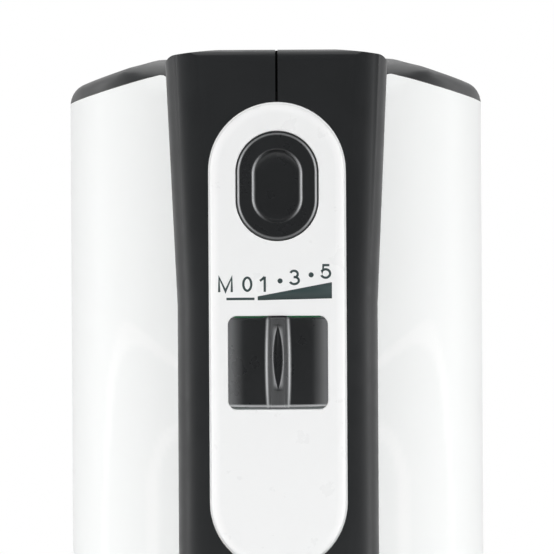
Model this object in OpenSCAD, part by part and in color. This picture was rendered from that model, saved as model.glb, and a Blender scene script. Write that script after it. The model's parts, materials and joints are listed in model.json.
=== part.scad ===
// Hand mixer with twin beaters, parked on its heel: the nose points up, the grip faces -Y
// and the beaters point to +Y. Z = 0 is the heel plane and the motor shaft is the Z axis.

/* [Housing] */
// Width over the two side covers
body_w = 91.5; // [91:0.5:96]
// Length from the heel to the nose
body_len = 199.5; // [198.5:0.5:202]
// Motor axis to the underside
base_depth = 38; // [38:0.5:40]
// Motor axis to the shoulder below the grip
shoulder_depth = 38; // [37.5:0.5:39]
// Motor axis to the crest of the grip
grip_depth = 100; // [99:0.5:103]
// Width of the grip at its middle
grip_w = 41; // [41:0.5:43]
// Wall of the moulded shells
wall = 2.2; // [1.8:0.1:2.3]
// Half the gap between the left and the right moulding
seam = 0.25; // [0.1:0.05:0.3]

/* [Controls] */
// Width of the pill-shaped control panel
panel_w = 27.3; // [27:0.1:28]
// Width of the eject button
button_w = 16.3; // [15.5:0.1:16.3]
// Stroke of the eject button
eject_travel = 6; // [4:0.5:6]
// Width of the speed slider's window
window_w = 20.3; // [20:0.1:20.6]
// Length of the speed slider's window
window_len = 19; // [19:0.1:20]

/* [Gearing] */
// Starts on the worm
worm_starts = 2; // [2:1:2]
// Teeth on each worm wheel
wheel_teeth = 32; // [32:1:32]
// Distance between the two beater spindles
spindle_gap = 40; // [40:0.1:40]

/* [Beaters] */
// Radius swept by a beater
beater_r = 22; // [19:0.5:23]
// Motor axis to the tip of the beaters
beater_reach = 178; // [150:1:190]

/* [Hidden] */
$fn = 48;

dark = [0.16, 0.17, 0.175];
white = [0.94, 0.95, 0.95];
steel = [0.72, 0.73, 0.75];
copper = [0.72, 0.42, 0.22];
grey = [0.5, 0.52, 0.54];
nylon = [0.88, 0.87, 0.82];

nose = body_len;
half_w = body_w / 2;
grip_half = grip_w / 2;
big = 400;
fit_gap = 0.06;         // radial clearance of a shaft in its bush
rim_z = 8;              // height of the heel cover's rim
part_gap = 0.15;        // gap between neighbouring mouldings
base_line = base_depth - 4;

panel_r = panel_w / 2;
panel_front_z = nose - 26.35;
panel_rear_z = nose - 93.7;
panel_y = -grip_depth - 1;
eject_z = nose - 29.45;
button_half = 2.75;     // half the straight side of the eject button
slider_z = nose - 65.3;
spindle_z = nose - 38;
spindle_x = spindle_gap / 2;

// ---------- outlines ----------

function unit(v) = v / norm(v);
function xy(p) = [p[0], p[1]];
function rest_of(p, i) = xy(p[(i + len(p)) % len(p)]);

// Centre and tangent points of the arc of radius r that rounds corner b of the path a, b, c.
function arc_of(a, b, c, r) =
    let (u = unit(a - b), v = unit(c - b), half = acos(u * v) / 2)
    [b + unit(u + v) * r / sin(half), b + u * r / tan(half), b + v * r / tan(half), b, r];
function arcs(p) =
    [for (i = [0:len(p) - 1]) arc_of(rest_of(p, i - 1), rest_of(p, i), rest_of(p, i + 1), p[i][2])];

// Convex outline through corners [x, y, radius], listed anticlockwise, with true arcs.
module smooth(p) {
    polygon([for (a = arcs(p)) each [a[1], a[2]]]);
    for (a = arcs(p))
        intersection() {
            translate(a[0]) circle(a[4], $fn = max(48, ceil(a[4]) * 4));
            polygon([a[1], a[3], a[2]]);
        }
}

// The same corners moved inwards by d, so that every side is d further in.
function inset(p, d) =
    [for (i = [0:len(p) - 1])
        let (a = rest_of(p, i - 1),
             b = rest_of(p, i),
             c = rest_of(p, i + 1),
             u = unit(a - b),
             v = unit(c - b),
             bend = sign(cross(b - a, c - b)),
             moved = b + unit(u + v) * bend * d / sin(acos(u * v) / 2))
        [moved[0], moved[1], max(p[i][2] - bend * d, 0.1)]];

// Body seen from the side, as [y, z, radius].
body_side = [
    [base_depth, 0, 14], [base_depth, nose - 7, 26], [-shoulder_depth, nose + 1.3, 12], [-shoulder_depth, 0, 12]
];
// Body seen from the grip, as [x, z, radius]: a tapered heel and a domed nose.
body_plan = [
    [half_w - 5, 0, 16], [half_w, 76, 300], [half_w, nose - 6.2, 5], [22, nose + 0.9, 40],
    [-22, nose + 0.9, 40], [-half_w, nose - 6.2, 5], [-half_w, 76, 300], [-half_w + 5, 0, 16]
];
// Body cut across, as [x, y, radius]: round shoulders and a tighter underside.
body_cross = [
    [half_w, -shoulder_depth, 28], [half_w, base_depth, 16],
    [-half_w, base_depth, 16], [-half_w, -shoulder_depth, 28]
];
// The grip is a loop of one rounded section: heel leg, crest, front leg and the pillar above it.
grip_t = 30;            // thickness of the section, crest to finger opening
loop_r = 14;            // radius of the opening's corners
leg_end = -20;          // where the legs end, inside the body
opening_z = [grip_t, 138];
flare = 2.4;            // how much wider each side of the grip is at the nose
flare_z = 146.5;        // where the flare starts
loop_y = grip_t + loop_r - grip_depth;
flare_angle = atan(flare / (nose - flare_z));
// The pillar's top, seen from the side and from the grip.
pillar_side = [[leg_end, -90, 0.5], [leg_end, nose - 0.7, 0.5], [-grip_depth, nose - 1.7, 2.4], [-grip_depth, -90, 0.5]];
pillar_plan = [
    [30, -90, 0.5], [grip_half + flare, nose - 2.8, 2.5], [12, nose - 1.6, 60],
    [-12, nose - 1.6, 60], [-grip_half - flare, nose - 2.8, 2.5], [-30, -90, 0.5]
];

// ---------- extrusions ----------

// 2-D [y, z] drawn in the side view, [x, z] in the view from the grip.
module along_x(length) rotate([90, 0, 90]) linear_extrude(length, center = true) children();
module along_y(length) rotate([90, 0, 0]) linear_extrude(length, center = true) children();
// A 2-D [x, z] shape standing between depths y0 and y1.
module slab_y(y0, y1) translate([0, y1, 0]) rotate([90, 0, 0]) linear_extrude(y1 - y0) children();
module rod_y(x, z, y0, y1, r) translate([x, y1, z]) rotate([90, 0, 0]) cylinder(h = y1 - y0, r = r);
module tube_y(x, z, y0, y1, r_out, r_in) difference() {
    rod_y(x, z, y0, y1, r_out);
    rod_y(x, z, y0 - 1, y1 + 1, r_in);
}
module tube_z(z0, z1, r_out, r_in) translate([0, 0, z0]) difference() {
    cylinder(h = z1 - z0, r = r_out);
    translate([0, 0, -1]) cylinder(h = z1 - z0 + 2, r = r_in);
}
module block(low, high) translate(low) cube(high - low);

// A stadium: straight sides of half length s along z, round ends of radius r.
module stadium(r, s) {
    translate([0, s]) circle(r);
    translate([0, -s]) circle(r);
    square([2 * r, 2 * s], center = true);
}
module pill(r) translate([0, (panel_front_z + panel_rear_z) / 2]) stadium(r, (panel_front_z - panel_rear_z) / 2);

// ---------- moulded shells ----------

module body_solid(d = 0) intersection() {
    along_x(big) smooth(inset(body_side, d));
    along_y(big) smooth(inset(body_plan, d));
    translate([0, 0, -1]) linear_extrude(big) smooth(inset(body_cross, d));
}
// The grip's section as [x, distance in from the crest], its outer edge nearer to zero.
module section(d, depth) smooth([
    [grip_half - d, d, 9 - d], [grip_half - d, depth - d, 7 - d],
    [-grip_half + d, depth - d, 7 - d], [-grip_half + d, d, 9 - d]
]);
module bend(z, turn, d) translate([0, loop_y, z]) rotate([0, 90, 0]) rotate([0, 0, turn])
    rotate_extrude(angle = 90) rotate(90) translate([0, -grip_t - loop_r]) section(d, grip_t);
module upright(z0, z1, d, depth) translate([0, -grip_depth, z0])
    linear_extrude(z1 - z0) section(d, depth);
module grip_solid(d = 0) {
    upright(grip_t + loop_r, flare_z, d, grip_t);
    bend(grip_t + loop_r, -90, d);
    slab_y(loop_y, leg_end) section(d, grip_t);
    bend(opening_z[1] - loop_r, 180, d);
    intersection() {
        along_x(big) smooth(inset(pillar_side, d));
        along_y(big) smooth(inset(pillar_plan, d));
        for (s = [-1, 1])
            intersection() {
                half_space(s, 0);
                translate([0, 0, flare_z]) rotate([0, s * flare_angle, 0]) {
                    upright(0, nose, d, grip_t);
                    upright(4 + d, nose, d, grip_depth + leg_end + 12);
                }
            }
    }
    intersection() {
        along_x(big) smooth(inset(pillar_side, d));
        slab_y(loop_y, leg_end) translate([0, opening_z[1] + 40]) mirror([0, 1]) section(d, 40);
    }
}

// The side covers reach up to a slanted line that turns down into the grip; the dark nose is ahead of it.
cover_corner = [grip_half + 3.1, nose - 3.4, 1.5];
cover_edge = [
    [12, 100, 1], [80, 100, 1], [80, nose - 18.3, 1], cover_corner
];
nose_slope = atan(7 / (base_depth + shoulder_depth));
module nose_plane(shift)
    translate([0, -shoulder_depth, nose - 3.4 + shift]) rotate([-nose_slope, 0, 0])
        block([-big, 0, 0], [big, big, big]);
// Everything behind the nose cap; d moves its outline in.
module cover_zone(d = 0) difference() {
    union() {
        along_y(big) {
            smooth(inset(cover_edge, d));
            mirror([1, 0]) smooth(inset(cover_edge, d));
        }
        block([-big, -big, -10], [big, big, opening_z[1] + 2]);
        block([-24, -15, 100], [24, big, nose]);
    }
    nose_plane(-d);
}
module half_space(side, gap) translate([side > 0 ? gap : -big - gap, -big, -big]) cube([big, 2 * big, 2 * big]);

boss_y = -31.5;
boss_z = [19, 143, nose - 11];
function grip_half_at(z) = grip_half + max(0, z - flare_z) * tan(flare_angle);

module grip_shell(d = 0) difference() {
    grip_solid(d);
    grip_solid(wall);
    block([-big, -27, -1], [big, big, big]);
    block([-big, -big, -1], [big, big, rim_z + part_gap]);
}
// The right half carries a tongue that closes the seam from behind; the left half is rebated for it.
module chassis(side) color(dark) difference() {
    union() {
        difference() {
            intersection() {
                half_space(side, seam);
                grip_shell();
            }
            if (side < 0)
                intersection() {
                    block([-2.2, -big, -1], [1, big, big]);
                    grip_solid(wall / 2 - 0.1);
                }
        }
        if (side > 0) {
            intersection() {
                block([-2, -big, -1], [1, big, big]);
                grip_shell(wall / 2);
            }
            intersection() {
                block([-0.1, -big, -1], [1, big, big]);
                grip_shell(0.5);
            }
        }
        for (z = boss_z)
            rotate([0, side * 90, 0]) translate([-side * z, boss_y, 2.4]) cylinder(h = grip_half_at(z) - 3.4, r = 3.2);
    }
    slab_y(-big, -grip_depth + 5) pill(panel_r + 0.35);
    rod_y(0, 30, -big, -80, 5.7);
    for (z = boss_z)
        rotate([0, 90, 0]) translate([-z, boss_y, -40]) cylinder(h = 80, r = 1.6);
}

module nose_cap() color(dark) difference() {
    body_solid();
    cover_zone(-part_gap);
    body_solid(wall);
    grip_solid(-part_gap);
}

module side_cover(side) color(white) difference() {
    intersection() {
        body_solid();
        cover_zone();
    }
    body_solid(wall);
    grip_solid(-0.25);
    half_space(-side, -0.15);
    block([-big, -big, -1], [big, big, rim_z + part_gap]);
    block([-big, base_line, -1], [big, big, big]);
}

vent_rows = [-16:5:19];
module heel_cover() color(dark) difference() {
    intersection() {
        union() {
            body_solid();
            grip_solid();
        }
        block([-big, -big, -1], [big, big, rim_z]);
    }
    difference() {
        union() {
            body_solid(wall);
            grip_solid(wall);
        }
        block([-big, -big, -1], [big, big, 3]);
        for (x = [-18.6, 17.1])
            block([x, -52, 2], [x + 1.5, 18, 5.6]);
    }
    block([-16.9, -50.3, 3], [16.9, -20, 5.8]);
    translate([0, 0, -1]) cylinder(h = 5, r = port_r);
    block([-4.2, -57, -1], [4.2, -18, 4]);
    for (y = vent_rows, x = [-31, 20])
        block([x, y, -1], [x + 11, y + 2, 4]);
}

socket_z = spindle_z;
module base_cover() color(dark) difference() {
    union() {
        intersection() {
            block([-big, base_line + part_gap, rim_z + part_gap], [big, big, big]);
            cover_zone();
            difference() {
                body_solid();
                body_solid(wall);
            }
        }
        for (x = [-spindle_x, spindle_x])
            tube_y(x, socket_z, 30, base_depth + 0.8, 9, 6.4);
    }
    for (x = [-spindle_x, spindle_x])
        rod_y(x, socket_z, 20, base_depth + 5, 6.4);
    for (z = [92:6:122])
        block([-20, 30, z], [20, 50, z + 2.4]);
}

// ---------- control panel ----------

module window() smooth([
    [window_w / 2, slider_z - window_len / 2, 1.8], [window_w / 2, slider_z + window_len / 2, 1.8],
    [-window_w / 2, slider_z + window_len / 2, 1.8], [-window_w / 2, slider_z - window_len / 2, 1.8]
]);
module button_outline(grow) translate([0, eject_z]) stadium(button_w / 2 + grow, button_half);

module control_panel() color(white) difference() {
    union() {
        difference() {
            union() {
                slab_y(panel_y, -grip_depth + 5.1) pill(panel_r);
                slab_y(-grip_depth + 3.8, -grip_depth + 5.1) pill(panel_r + 1.2);
            }
            slab_y(panel_y + 2.6, -grip_depth + 6.5) pill(panel_r - 1.6);
        }
        slab_y(panel_y + 1, -grip_depth + 9) button_outline(1.8);
    }
    slab_y(-big, -grip_depth + 10) button_outline(0.3);
    slab_y(-big, -grip_depth + 10) window();
    // room for the drum to turn between the panel's side walls
    translate([0, drum_axis_y, slider_z]) cylinder(h = drum_len + 1.4, r = drum_r + 0.4, center = true);
}

module eject_button() color(dark) difference() {
    slab_y(panel_y + 0.1, -grip_depth + 12) button_outline(0);
    slab_y(-big, panel_y + 1.7) translate([0, eject_z]) stadium(4.9, 2.5);
    slab_y(panel_y + 3.2, -grip_depth + 13) button_outline(-1.6);
}

pin_y = -23.5;          // underside of the ejector plate
shank_top = -8;         // inner end of the beater shanks
module ejector_rod() color(grey) {
    block([-5, panel_y + 3.2, eject_z - 4], [5, pin_y - 3, eject_z + 4]);
    block([-24, pin_y - 3, spindle_z - 5], [24, pin_y, eject_z + 4]);
    for (x = [-spindle_x, spindle_x])
        rod_y(x, spindle_z, pin_y, shank_top - 0.3, 3.4);
}

// A coil of wire, one ring of points every 360 / per_turn degrees, winding along +Z from 0.
module coil(r, wire, length, turns, per_turn, sides) {
    steps = turns * per_turn;
    pts = [for (i = [0:steps], k = [0:sides - 1])
        let (a = 360 * i / per_turn, b = 360 * k / sides, q = r + wire * cos(b))
        [q * cos(a), q * sin(a), wire + (length - 2 * wire) * i / steps + wire * sin(b)]];
    sides_faces = [for (i = [0:steps - 1], k = [0:sides - 1])
        let (n = (k + 1) % sides)
        [i * sides + k, (i + 1) * sides + k, (i + 1) * sides + n, i * sides + n]];
    polyhedron(pts, concat(
        sides_faces,
        [[for (k = [0:sides - 1]) k]],
        [[for (k = [sides - 1:-1:0]) steps * sides + k]]
    ));
}
spring_seat = -14;      // top of the gear case cover
module ejector_spring() color(steel)
    translate([0, spring_seat, spindle_z + 3]) rotate([90, 0, 0]) coil(4.2, 0.4, pin_y * -1 + spring_seat, 3, 14, 6);

// ---------- speed slider ----------

drum_r = 17;
drum_axis_y = panel_y + 0.4 + drum_r;
drum_len = window_len - 0.7;
arm_r = 6;
// A slice of a disc between two radii and within half_angle of -Y.
module sector(r_out, r_in, half_angle) difference() {
    intersection() {
        circle(r_out, $fn = 96);
        polygon([[0, 0], 60 * [sin(-half_angle), -cos(half_angle)], [-40, -60], [40, -60], 60 * [sin(half_angle), -cos(half_angle)]]);
    }
    circle(r_in, $fn = 96);
}
module speed_slider() color(dark) translate([0, drum_axis_y, slider_z]) {
    translate([0, 0, -drum_len / 2]) linear_extrude(drum_len) sector(drum_r, drum_r - 2.2, 62);
    for (z = [-drum_len / 2, drum_len / 2 - 1.8])
        translate([0, 0, z]) linear_extrude(1.8) sector(drum_r - 1, 2, 60);
    translate([0, 0, -drum_len / 2]) cylinder(h = drum_len, r = 3.2);
    translate([0, 0, -12.2]) cylinder(h = 24.4, r = 2);
    translate([0, 0, -drum_len / 2]) linear_extrude(drum_len)
        polygon([[-2.6, 0.3 - drum_r], [-1.3, -1.5 - drum_r], [1.3, -1.5 - drum_r], [2.6, 0.3 - drum_r]]);
    block([-0.6, 2, -2], [0.6, arm_r, 2]);
    translate([0, arm_r, -2]) cylinder(h = 4, r = 1);
}
board_y = -grip_depth + 24.6;
module slider_bracket() color(grey) translate([0, 0, slider_z]) difference() {
    union() {
        for (z = [-12.3, 9.7])
            block([-11, drum_axis_y - 4, z], [11, board_y - 0.1, z + 2.6]);
        for (x = [-11, 9])
            block([x, board_y - 2, -12.3], [x + 2, board_y - 0.1, 12.3]);
    }
    translate([0, drum_axis_y, -20]) cylinder(h = 40, r = 2 + fit_gap);
}
module contact_carriage() color(nylon) translate([0, 0, slider_z]) difference() {
    block([-4, board_y - 3.6, -4], [4, board_y - 0.25, 4]);
    block([-1.3, board_y - 5, -2.4], [1.3, board_y - 0.9, 2.4]);
}
module speed_switch() color(dark) translate([0, 0, slider_z]) difference() {
    block([-8.6, board_y - 1.6, -6.5], [8.6, board_y, 6.5]);
    block([-7.2, board_y - 3, -4.3], [7.2, board_y + 1, 4.3]);
}
module control_board() color([0.16, 0.4, 0.24])
    block([-13, board_y, slider_z - 56], [13, board_y + 1.5, slider_z + 17]);
module heat_sink() color(steel) translate([0, 0, slider_z - 36]) {
    block([-11, board_y - 3, -7], [11, board_y - 0.1, 7]);
    for (x = [-11:4.2:11])
        block([x, board_y - 12, -7], [x + 1, board_y - 2, 7]);
}
module suppression_capacitor() color([0.85, 0.72, 0.2])
    block([-9, board_y - 13, slider_z - 54], [9, board_y - 0.1, slider_z - 46]);

// ---------- heel: accessory port and cord inlet ----------

port_r = 15;
module port_collar() color(grey) difference() {
    union() {
        tube_z(6, 22, port_r + 2, port_r);
        tube_z(18, 20, port_r + 6, port_r + 1);
    }
    for (a = [0, 90])
        rotate([0, 0, a + 45]) block([-1.2, -30, 18.01], [1.2, 30, 19.99]);
}
// The shutter is drawn open, parked behind the port.
module port_shutter() color(dark) translate([0, -33, 0]) {
    block([-16.6, -17, 3.4], [16.6, 17, 5.4]);
    block([-3.6, -21.5, 3.4], [3.6, -17, 5.4]);
    for (y = [-21.5, -19.5])
        block([-3.6, y, 0.6], [3.6, y + 1, 3.6]);
}
gland_z = 30;
module cord_gland() color(dark) difference() {
    union() {
        rod_y(0, gland_z, -grip_depth + 3.4, -grip_depth + 15.4, 5.5);
        rod_y(0, gland_z, -grip_depth + 8.6, -grip_depth + 10.4, 7.5);
    }
    rod_y(0, gland_z, -big, 0, 3.6);
}
module cord_clamp() color(grey) difference() {
    block([-9, -82.5, gland_z - 5], [9, -77.5, gland_z + 5]);
    rod_y(0, gland_z, -90, -70, 3.6);
    for (x = [-6.5, 6.5])
        rod_y(x, gland_z, -90, -70, 1.4);
}
module terminal_block() color(nylon) difference() {
    block([-10, -84, 40], [10, -74.5, 52]);
    for (x = [-5, 5]) {
        rod_y(x, 46, -90, -78, 2.2);
        translate([x, -78.5, 30]) cylinder(h = 30, r = 1.6);
    }
}
module housing_screws() color(steel)
    for (z = boss_z)
        rotate([0, 90, 0]) translate([-z, boss_y, 0]) {
            translate([0, 0, -grip_half_at(z) - 0.1]) cylinder(h = grip_half_at(z) + 16, r = 1.5);
            translate([0, 0, -grip_half_at(z) - 1.9]) cylinder(h = 1.8, r = 2.6);
        }

// ---------- motor ----------

shaft_r = 3;
comm_z = [40, 52];
core_z = [62, 94];
bolt_at = [[24, 21], [-24, 21], [24, -21], [-24, -21]];

module frame_outline() smooth([[28, -25, 5], [28, 25, 5], [-28, 25, 5], [-28, -25, 5]]);
module posts(z0, z1) for (p = bolt_at)
    translate([p[0], p[1], z0]) cylinder(h = z1 - z0, r = 3.8);
module post_holes() for (p = bolt_at)
    translate([p[0], p[1], -1]) cylinder(h = 300, r = 1.8);

module rear_bracket() color(steel) difference() {
    union() {
        translate([0, 0, 30]) linear_extrude(4) frame_outline();
        translate([0, 0, 28]) cylinder(h = 8, r = 10);
        posts(30, core_z[0]);
        for (s = [-1, 1])
            block([s * 20.5 - 6.5, -5, 33], [s * 20.5 + 6.5, 5, 39.7]);
    }
    translate([0, 0, 20]) cylinder(h = 30, r = 6.5);
    for (s = [-1, 1])
        block([-8, s * 18 - 4, 20], [8, s * 18 + 4, 38]);
    post_holes();
}
module front_bracket() color(steel) difference() {
    union() {
        translate([0, 0, 117]) linear_extrude(4) frame_outline();
        translate([0, 0, 116]) cylinder(h = 8, r = 10);
        posts(core_z[1], 117);
    }
    translate([0, 0, 110]) cylinder(h = 20, r = 6.5);
    for (a = [0:60:300])
        rotate([0, 0, a + 30]) translate([17, 0, 110]) cylinder(h = 20, r = 5);
    post_holes();
}
module coil_slot(r_out, r_in, half_angle) for (s = [-1, 1])
    rotate([0, 0, s * 90]) sector(r_out, r_in, half_angle);
module stator_core() color(grey) difference() {
    translate([0, 0, core_z[0]]) linear_extrude(core_z[1] - core_z[0]) difference() {
        frame_outline();
        circle(17.2, $fn = 96);
        coil_slot(24.6, 10, 56);
    }
    post_holes();
}
module field_coils() color(copper)
    translate([0, 0, 55]) linear_extrude(46) coil_slot(24.2, 17.8, 52);

wheel_pitch_r = 15.5;
worm_pitch_r = spindle_gap / 2 - wheel_pitch_r;
tooth_pitch = 2 * PI * wheel_pitch_r / wheel_teeth;
module_mm = tooth_pitch / PI;
worm_lead = tooth_pitch * worm_starts;
worm_tip_r = worm_pitch_r + 0.8 * module_mm;
worm_root_r = worm_pitch_r - 1.1 * module_mm;
worm_len = 24;
backlash = 0.34;
// Half the angle that a thread covers at radius r, for flanks at 20 degrees.
function thread_half(r) = 180 / worm_lead * (tooth_pitch / 2 - 2 * (r - worm_pitch_r) * tan(20));
worm_flank = [worm_root_r, worm_pitch_r, worm_tip_r, worm_tip_r, worm_tip_r, worm_pitch_r, worm_root_r];
worm_side = [-1, -1, -1, 0, 1, 1, 1];
module worm_profile() polygon([for (s = [1:worm_starts], k = [0:6])
    let (r = worm_flank[k],
         a = 360 / worm_starts * s + worm_side[k] * thread_half(r))
    r * [cos(a), sin(a)]]);
module worm_shaft() color(steel) {
    translate([0, 0, 23]) cylinder(h = spindle_z - worm_len / 2 - 23 + 0.5, r = shaft_r);
    translate([0, 0, spindle_z - worm_len / 2]) rotate([0, 0, -180 * worm_len / worm_lead])
        linear_extrude(worm_len, twist = -360 * worm_len / worm_lead, slices = round(worm_len / worm_lead * 18), $fn = 0)
            worm_profile();
    translate([0, 0, spindle_z + worm_len / 2 - 0.5]) cylinder(h = nose - 11 - spindle_z - worm_len / 2, r = shaft_r);
}
module armature_core() color(grey) translate([0, 0, core_z[0]]) linear_extrude(core_z[1] - core_z[0]) difference() {
    circle(16.5, $fn = 96);
    circle(shaft_r + 0.05);
    for (a = [0:30:330])
        rotate(a) {
            translate([12.6, 0]) circle(2.1);
            translate([14.5, -0.7]) square([4, 1.4]);
        }
}
module armature_windings() color(copper) {
    for (a = [0:30:330])
        rotate([0, 0, a]) translate([12.6, 0, 57]) cylinder(h = 42, r = 1.8);
    for (z = [55, 95])
        tube_z(z, z + 6, 14.6, shaft_r + 1);
}
module commutator() color(copper) difference() {
    tube_z(comm_z[0], comm_z[1], 11, shaft_r + 0.05);
    for (a = [0:30:330])
        rotate([0, 0, a]) block([10.2, -0.25, comm_z[0] - 1], [12, 0.25, comm_z[1] + 1]);
}
module cooling_fan() color(nylon) {
    tube_z(103, 112, 6, shaft_r + 0.05);
    tube_z(103, 104.2, 23.5, 5);
    for (a = [0:36:324])
        rotate([0, 0, a]) translate([14.5, 0, 107.6]) rotate([0, 0, 14]) cube([16.5, 1.2, 8], center = true);
}
module shaft_bearings() color([0.7, 0.52, 0.28]) {
    tube_z(28.5, 35.5, 6.45, shaft_r + fit_gap);
    tube_z(116.5, 123.5, 6.45, shaft_r + fit_gap);
    tube_z(nose - 17.5, nose - 11.5, 6.45, shaft_r + fit_gap);
}
brush_z = 46;
module brush_holders() color([0.8, 0.65, 0.3]) for (s = [-1, 1])
    scale([s, 1, 1]) difference() {
        block([12.4, -4.2, brush_z - 6.2], [27, 4.2, brush_z + 6.2]);
        block([10, -3.2, brush_z - 5.2], [26.2, 3.2, brush_z + 5.2]);
    }
module carbon_brushes() color([0.12, 0.12, 0.12]) for (s = [-1, 1])
    scale([s, 1, 1]) difference() {
        block([10.5, -3.05, brush_z - 5.05], [21, 3.05, brush_z + 5.05]);
        translate([0, 0, brush_z - 10]) cylinder(h = 20, r = 11.12);
    }
module brush_springs() color(steel) for (a = [90, -90])
    translate([sign(a) * 21.1, 0, brush_z]) rotate([0, a, 0]) coil(2.2, 0.35, 5, 4, 10, 5);
module motor_screws() color(steel) for (p = bolt_at)
    translate([p[0], p[1], 0]) {
        translate([0, 0, 29.9]) cylinder(h = 96, r = 1.6);
        translate([0, 0, 27.9]) cylinder(h = 2, r = 3);
        translate([0, 0, 121.1]) cylinder(h = 2.4, r = 3.1, $fn = 6);
    }
module drive_coupling() color(grey) difference() {
    translate([0, 0, 22.6]) cylinder(h = 4.6, r = 7);
    translate([0, 0, 23]) cylinder(h = 10, r = shaft_r + 0.05);
    for (a = [0, 120, 240])
        rotate([0, 0, a]) translate([5.6, 0, 20]) cylinder(h = 20, r = 1.6);
}
module choke_coils() color(copper) for (x = [-10, 10])
    translate([x, -25.5, 39]) {
        cylinder(h = 14, r = 2);
        for (z = [1:1.5:11.5])
            translate([0, 0, z]) cylinder(h = 1.3, r = 3.6);
    }

// ---------- gearbox ----------

case_top = -14;
case_floor = 15;
case_z = [129, nose - 10];
case_half = 39.5;
case_screws = [[35, case_z[0] + 5], [-35, case_z[0] + 5], [35, case_z[1] - 5], [-35, case_z[1] - 5]];
module case_outline(d) smooth([
    [case_half - d, case_z[0] + d, 4], [case_half - d, case_z[1] - d, 4],
    [-case_half + d, case_z[1] - d, 4], [-case_half + d, case_z[0] + d, 4]
]);
// Half of the gear case: a tray whose mouth is at y_mouth and whose outer face is at y_face.
module case_tray(y_face, y_mouth) {
    low = min(y_face, y_mouth);
    high = max(y_face, y_mouth);
    s = sign(y_face - y_mouth);
    difference() {
        union() {
            difference() {
                slab_y(low, high) case_outline(0);
                slab_y(low - (s < 0 ? -3.5 : 1), high - (s > 0 ? 3.5 : -1)) case_outline(2);
            }
            for (p = case_screws)
                rod_y(p[0], p[1], low, high, 3.4);
            translate([0, 0, case_z[1] - 8]) difference() {
                block([-9, low, 0], [9, high, 8]);
                block([-big, -big, 8], [big, big, big]);
            }
        }
        for (x = [-spindle_x, spindle_x])
            rod_y(x, spindle_z, -30, 30, 7.5);
        translate([0, 0, case_z[0] - 1]) cylinder(h = 10, r = 8);
        translate([0, 0, case_z[1] - 9]) cylinder(h = 12, r = 6.5);
        for (p = case_screws)
            rod_y(p[0], p[1], -30, 30, 1.5);
    }
}
module gear_case() color(grey) case_tray(case_floor, 0.05);
module gear_case_cover() color(grey) case_tray(case_top, -0.05);
module gear_case_screws() color(steel) for (p = case_screws) {
    rod_y(p[0], p[1], case_top - 0.1, case_floor - 2, 1.4);
    rod_y(p[0], p[1], case_top - 2, case_top - 0.05, 2.7);
}

spindle_r = 5.5;
shank_r = 4;
spindle_end = base_depth - 1.5;
module spindle_bushes() color([0.7, 0.52, 0.28]) for (x = [-spindle_x, spindle_x]) {
    tube_y(x, spindle_z, case_top + 0.1, case_top + 4.5, 7.45, spindle_r + fit_gap);
    tube_y(x, spindle_z, case_floor - 4.5, case_floor - 0.1, 7.45, spindle_r + fit_gap);
}
module spindle(side) color(steel) difference() {
    tube_y(side * spindle_x, spindle_z, case_top - 1.2, spindle_end, spindle_r, shank_r + fit_gap);
    translate([side * spindle_x, 0, spindle_z]) rotate([0, side > 0 ? 45 : 0, 0])
        block([-1.2, spindle_end - 5.5, -10], [1.2, spindle_end + 1, 10]);
}
// Involute flank points of a tooth, as [radius, half angle] from root to tip.
base_r = wheel_pitch_r * cos(20);
function involute_angle(r) = let (a = acos(min(1, base_r / r))) tan(a) * 180 / PI - a;
function half_tooth(r) = 90 / wheel_teeth * (1 - backlash / (tooth_pitch / 2))
    + involute_angle(wheel_pitch_r) - involute_angle(max(r, base_r));
wheel_root_r = wheel_pitch_r - 1.05 * module_mm;
wheel_tip_r = wheel_pitch_r + 0.75 * module_mm;
flank = [wheel_root_r, wheel_pitch_r - 0.3, wheel_tip_r];
module wheel_outline() polygon([for (t = [0:wheel_teeth - 1], k = [0:5])
    let (r = flank[k < 3 ? k : 5 - k],
         a = 360 / wheel_teeth * t + (k < 3 ? -1 : 1) * half_tooth(r))
    r * [cos(a), sin(a)]]);
wheel_face = 7;
lead_angle = atan(worm_lead / (2 * PI * worm_pitch_r));
wheel_twist = wheel_face * tan(lead_angle) / wheel_pitch_r * 180 / PI;
module worm_wheel(side) color(nylon) translate([side * spindle_x, 0, spindle_z]) rotate([90, 0, 0]) difference() {
    union() {
        rotate([0, 0, 180 / wheel_teeth - wheel_twist / 2]) translate([0, 0, -wheel_face / 2])
            linear_extrude(wheel_face, twist = -wheel_twist, slices = 3, $fn = 0) wheel_outline();
        translate([0, 0, -6]) cylinder(h = 12, r = 8.5);
    }
    translate([0, 0, -20]) cylinder(h = 40, r = spindle_r + 0.03);
}
module spindle_clip(side) color(steel) difference() {
    tube_y(side * spindle_x, spindle_z, case_floor + 0.4, case_floor + 1.4, 7, spindle_r + 0.03);
    translate([side * spindle_x, 0, spindle_z]) block([-2, 0, 0], [2, 40, 10]);
}

// ---------- beaters ----------

strip_w = 5;
strip_t = 1.3;
cage = [
    [beater_r, beater_reach, 13], [-beater_r, beater_reach, 13], [-beater_r, beater_reach - 72, 14],
    [-4.5, beater_reach - 90, 4], [4.5, beater_reach - 90, 4], [beater_r, beater_reach - 72, 14]
];
module strip() linear_extrude(strip_w, center = true) difference() {
    smooth(cage);
    smooth(inset(cage, strip_t));
}
hub_r = 4.5;
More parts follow.
